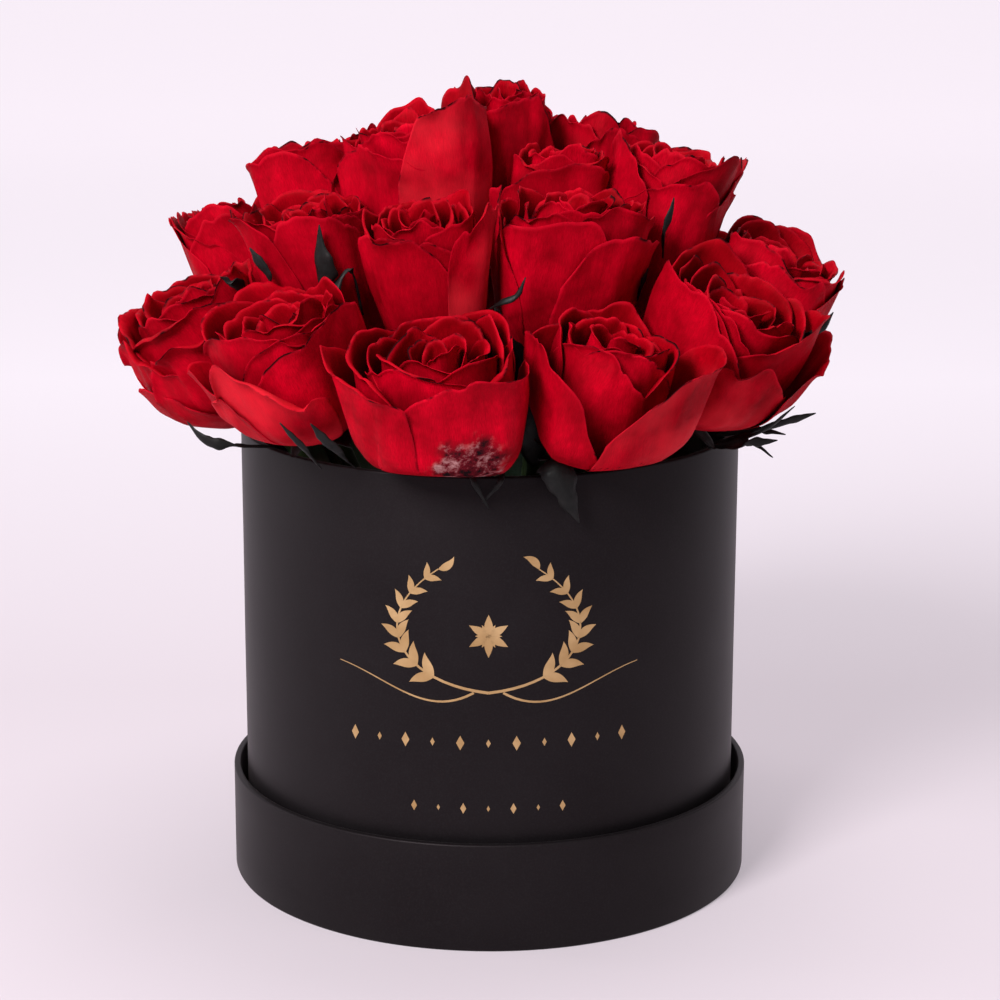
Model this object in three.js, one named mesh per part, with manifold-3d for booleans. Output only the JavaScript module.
// A round flower box: a wrapped-board hat box that stands in its own upturned lid
// and holds a lined block of floral foam with a dome of cut roses pushed into it.
//
// Units are millimetres. +Z is up and -Y is the front. The origin is the middle of
// the lid's outer face, on the table. An azimuth is measured round +Z from the front
// towards +X, in degrees.
import * as THREE from "three";
import { mergeVertices } from "three/addons/utils/BufferGeometryUtils.js";
import Module from "manifold-3d";

const wasm = await Module();
wasm.setup();

// Driving dimensions
const BODY_RADIUS = 90; // outside of the box body
const RIM_HEIGHT = 167; // top edge of the body
const LID_RADIUS = 95; // outside of the upturned lid
const LID_HEIGHT = 39;
const BOARD = 2.5; // wrapped board: walls, floor and lid panel
const GAP = 0.3; // between pieces that rest on or are glued to each other

const LINER_CLEARANCE = 0.8; // between the liner and the body wall
const LINER_WALL = 1.2;
const LINER_TOP = 153;

const FOAM_CLEARANCE = 0.6; // between the foam and the liner
const BRICK_HEIGHT = 80; // a standard brick of floral foam, laid flat
const BRICK_WIDTH = 110;
const FOAM_TOP = 146;

const NECK_RADIUS = 2.6; // stem just under the hip
const STEM_RADIUS = 3; // stem at its cut end
const HIP_RADIUS = 5.2; // swelling that carries the petals
const HIP_LENGTH = 7;
const HOLE_CLEARANCE = 0.3; // between a stem and the hole it makes in the foam
const PETAL_GAP = 0.4; // between the flats where neighbouring blooms press together

// Number of sides on the turned pieces
const WALL_SIDES = 72;
const BLOOM_SIDES = 20;
const STEM_SIDES = 8;

// Heights that follow from the driving dimensions
const boxBottom = BOARD + GAP;
const floorTop = boxBottom + BOARD;
const linerBottom = floorTop + GAP;
const foamBottom = linerBottom + LINER_WALL + GAP;
const brickBottom = FOAM_TOP - BRICK_HEIGHT;
const wallInside = BODY_RADIUS - BOARD;
const linerRadius = wallInside - LINER_CLEARANCE;
const foamRadius = linerRadius - LINER_WALL - FOAM_CLEARANCE;
const UP = new THREE.Vector3(0, 0, 1);

// The roses. azimuth and reach place the middle of the open face round and away from
// the box's axis, and height puts it above the table. lean is the stem's angle from
// upright, outwards. radius and depth are the bloom's half width where nothing presses
// on it and its length from hip to face, and grip is how far the stem is in the foam.
const ROSES = [
  // lower ring, resting over the rim, from the front round to the right
  { azimuth: -9, reach: 103, height: 215, lean: 29, radius: 32, depth: 51, grip: 42 },
  { azimuth: 24, reach: 103, height: 218, lean: 29, radius: 31, depth: 51, grip: 42 },
  { azimuth: 54, reach: 104, height: 226, lean: 29, radius: 32, depth: 52, grip: 42 },
  { azimuth: 85, reach: 103, height: 229, lean: 29, radius: 30, depth: 52, grip: 42 },
  { azimuth: 119, reach: 104, height: 224, lean: 29, radius: 31, depth: 52, grip: 42 },
  { azimuth: 152, reach: 104, height: 222, lean: 29, radius: 32, depth: 52, grip: 42 },
  { azimuth: -174, reach: 103, height: 220, lean: 29, radius: 32, depth: 51, grip: 42 },
  { azimuth: -142, reach: 103, height: 223, lean: 29, radius: 31, depth: 51, grip: 42 },
  { azimuth: -110, reach: 105, height: 238, lean: 26, radius: 29, depth: 52, grip: 42 },
  { azimuth: -76, reach: 110, height: 219, lean: 33, radius: 31, depth: 51, grip: 42 },
  { azimuth: -43, reach: 104, height: 223, lean: 29, radius: 31, depth: 52, grip: 42 },
  // upper ring
  { azimuth: -23, reach: 63, height: 250, lean: 16, radius: 27, depth: 50, grip: 50 },
  { azimuth: 31, reach: 58, height: 256, lean: 15, radius: 32, depth: 54, grip: 50 },
  { azimuth: 89, reach: 68, height: 261, lean: 17, radius: 31, depth: 52, grip: 50 },
  { azimuth: 131, reach: 52, height: 270, lean: 12, radius: 26, depth: 50, grip: 50 },
  { azimuth: 171, reach: 66, height: 262, lean: 16, radius: 30, depth: 50, grip: 50 },
  { azimuth: -148, reach: 62, height: 263, lean: 15, radius: 29, depth: 50, grip: 50 },
  { azimuth: -109, reach: 66, height: 262, lean: 16, radius: 29, depth: 50, grip: 50 },
  { azimuth: -60, reach: 73, height: 251, lean: 18, radius: 29, depth: 50, grip: 50 },
  // crown
  { azimuth: -74, reach: 31, height: 275, lean: 8, radius: 30, depth: 52, grip: 58 },
  { azimuth: 158, reach: 16, height: 286, lean: 3, radius: 22, depth: 50, grip: 58 },
  { azimuth: 76, reach: 27, height: 267, lean: 6, radius: 20, depth: 44, grip: 58 },
];

// Half width of a bloom at each tenth of its depth, as a share of its radius: a
// steep cone at the hip, full cheeks above the middle and a crowned face.
const BLOOM_SHAPE = [0.17, 0.42, 0.66, 0.83, 0.93, 0.985, 1, 0.985, 0.92, 0.72, 0];
const CHEEK_LEVEL = 0.6; // where the bloom is widest, as a share of its depth
const PRESS_REACH = 90; // blooms whose middles are further apart than this never touch

const paperBlack = new THREE.MeshStandardMaterial({ color: 0x1d1b1b, roughness: 0.62 });
const boardGrey = new THREE.MeshStandardMaterial({ color: 0x2a2828, roughness: 0.8 });
const clearFilm = new THREE.MeshStandardMaterial({
  color: 0xdfe6e6,
  roughness: 0.2,
  transparent: true,
  opacity: 0.4,
});
const foamGreen = new THREE.MeshStandardMaterial({ color: 0x3f6b45, roughness: 0.95 });
const petalRed = new THREE.MeshStandardMaterial({ color: 0xb20a18, roughness: 0.7 });
const stemGreen = new THREE.MeshStandardMaterial({ color: 0x3d5a2c, roughness: 0.6 });

const box = new THREE.Group();

// A mesh with a node's name, in a group or in the whole box.
function addPiece(name, geometry, material, parent = box) {
  const mesh = new THREE.Mesh(geometry, material);
  mesh.name = name;
  parent.add(mesh);
}

// A solid turned about +Z from [radius, height] corners listed upwards.
function turned(corners, sides) {
  const profile = corners.map(([radius, height]) => new THREE.Vector2(radius, height));
  return new THREE.LatheGeometry(profile, sides).rotateX(Math.PI / 2);
}

function disc(radius, bottom, top) {
  return turned([[0, bottom], [radius, bottom], [radius, top], [0, top]], WALL_SIDES);
}

function ring(inner, outer, bottom, top) {
  const corners = [[inner, bottom], [outer, bottom], [outer, top], [inner, top], [inner, bottom]];
  return turned(corners, WALL_SIDES);
}

// Joining and cutting: a closed geometry becomes a solid here, and geometryOf turns the
// result back into a geometry.
function solidOf(geometry) {
  const bare = geometry.clone();
  bare.deleteAttribute("normal");
  bare.deleteAttribute("uv");
  const merged = mergeVertices(bare);
  return new wasm.Manifold(
    new wasm.Mesh({
      numProp: 3,
      vertProperties: merged.attributes.position.array,
      triVerts: new Uint32Array(merged.index.array),
    }),
  );
}

function geometryOf(solid) {
  const mesh = solid.getMesh();
  const geometry = new THREE.BufferGeometry();
  geometry.setAttribute("position", new THREE.BufferAttribute(mesh.vertProperties, 3));
  geometry.setIndex(new THREE.BufferAttribute(mesh.triVerts, 1));
  geometry.computeVertexNormals();
  return geometry;
}

// A rose's name, size and place: its hip, the direction up its stem, the middle of its
// widest part, and the frame at the hip whose +Z runs up the stem.
function placeRose(rose, index) {
  const { azimuth, reach, height, lean, depth, grip } = rose;
  const frame = new THREE.Group();
  const turn = THREE.MathUtils.degToRad(azimuth);
  const tilt = THREE.MathUtils.degToRad(lean);
  frame.rotation.set(tilt, 0, turn, "ZXY");
  const up = new THREE.Vector3(0, 0, 1).applyEuler(frame.rotation);
  const face = new THREE.Vector3(reach * Math.sin(turn), -reach * Math.cos(turn), height);
  const hip = face.clone().addScaledVector(up, -depth);
  frame.position.copy(hip);
  frame.updateMatrixWorld();
  return {
    ...rose,
    name: "rose_" + String(index + 1).padStart(2, "0"),
    frame,
    up,
    cheek: hip.clone().addScaledVector(up, CHEEK_LEVEL * depth),
    length: (hip.z - FOAM_TOP) / Math.cos(tilt) + grip,
  };
}

// The room that a neighbour takes from a rose: a block whose near face lies between
// them, along the mean of their stems, so that either can be drawn out past the other.
function neighbourBlock(rose, other) {
  const across = other.cheek.clone().sub(rose.cheek);
  const between = across.clone().multiplyScalar(rose.radius / (rose.radius + other.radius));
  const along = rose.up.clone().add(other.up).normalize();
  const away = across.projectOnPlane(along).normalize();
  const size = 4 * BODY_RADIUS;
  const block = new THREE.BoxGeometry(size, size, size).translate(0, 0, (size - PETAL_GAP) / 2);
  block.applyQuaternion(new THREE.Quaternion().setFromUnitVectors(UP, away));
  block.translate(...rose.cheek.clone().add(between));
  return block;
}

// A bloom in its rose's frame: the free shape, flattened against each neighbour.
function bloomGeometry(rose, roses) {
  const { radius, depth, frame } = rose;
  const last = BLOOM_SHAPE.length - 1;
  const cheek = BLOOM_SHAPE.map((share, i) => [share * radius, GAP + (depth - GAP) * (i / last)]);
  const free = solidOf(turned([[0, GAP], ...cheek], BLOOM_SIDES));
  const toFrame = frame.matrixWorld.clone().invert();
  const pressed = roses
    .filter((other) => other !== rose)
    .filter((other) => other.cheek.distanceTo(rose.cheek) < PRESS_REACH)
    .map((other) => solidOf(neighbourBlock(rose, other).applyMatrix4(toFrame)))
    .reduce((solid, block) => solid.subtract(block), free);
  return geometryOf(pressed);
}

function stemGeometry({ length }) {
  const corners = [
    [0, -length],
    [STEM_RADIUS, -length],
    [NECK_RADIUS, -HIP_LENGTH],
    [HIP_RADIUS, 0],
    [0, 0],
  ];
  return turned(corners, STEM_SIDES);
}

// The hole that a stem makes in the foam, run on past its cut end.
function stemHole({ length, frame }) {
  const radius = STEM_RADIUS + HOLE_CLEARANCE;
  const end = -length - HOLE_CLEARANCE;
  const hole = turned([[0, end], [radius, end], [radius, 0], [0, 0]], STEM_SIDES);
  return solidOf(hole.applyMatrix4(frame.matrixWorld));
}

function addRoses(roses) {
  for (const rose of roses) {
    addPiece(rose.name + "_bloom", bloomGeometry(rose, roses), petalRed, rose.frame);
    addPiece(rose.name + "_stem", stemGeometry(rose), stemGreen, rose.frame);
    box.add(rose.frame);
  }
}

function addLid() {
  addPiece("lid_panel", disc(LID_RADIUS - BOARD - GAP, 0, BOARD), paperBlack);
  addPiece("lid_wall", ring(LID_RADIUS - BOARD, LID_RADIUS, 0, LID_HEIGHT), paperBlack);
}

function addBody() {
  addPiece("box_floor", disc(wallInside - GAP, boxBottom, floorTop), boardGrey);
  addPiece("box_wall", ring(wallInside, BODY_RADIUS, boxBottom, RIM_HEIGHT), paperBlack);
}

// A thin waterproof cup, turned from one closed outline.
function addLiner() {
  const inside = linerRadius - LINER_WALL;
  const corners = [
    [0, linerBottom],
    [linerRadius, linerBottom],
    [linerRadius, LINER_TOP],
    [inside, LINER_TOP],
    [inside, linerBottom + LINER_WALL],
    [0, linerBottom + LINER_WALL],
  ];
  addPiece("liner", turned(corners, WALL_SIDES), clearFilm);
}

// The foam: a round base layer, and above it a brick laid flat across the middle
// with an offcut wedged in at each side, pierced by the stems.
function addFoam(roses) {
  const base = disc(foamRadius, foamBottom, brickBottom - GAP);
  addPiece("foam_base", base, foamGreen);

  const holes = roses.map(stemHole);
  const layer = solidOf(disc(foamRadius, brickBottom, FOAM_TOP));
  const middle = (brickBottom + FOAM_TOP) / 2;
  const across = [
    ["foam_brick", 0, BRICK_WIDTH],
    ["foam_wedge_left", -BRICK_WIDTH - GAP, BRICK_WIDTH],
    ["foam_wedge_right", BRICK_WIDTH + GAP, BRICK_WIDTH],
  ];
  for (const [name, x, width] of across) {
    const slab = new THREE.BoxGeometry(width, 2 * BODY_RADIUS, BRICK_HEIGHT + 2 * GAP);
    const piece = layer.intersect(solidOf(slab.translate(x, 0, middle)));
    const pierced = holes.reduce((solid, hole) => solid.subtract(hole), piece);
    addPiece(name, geometryOf(pierced), foamGreen);
  }
}

const roses = ROSES.map(placeRose);
addLid();
addBody();
addLiner();
addFoam(roses);
addRoses(roses);

export default box;
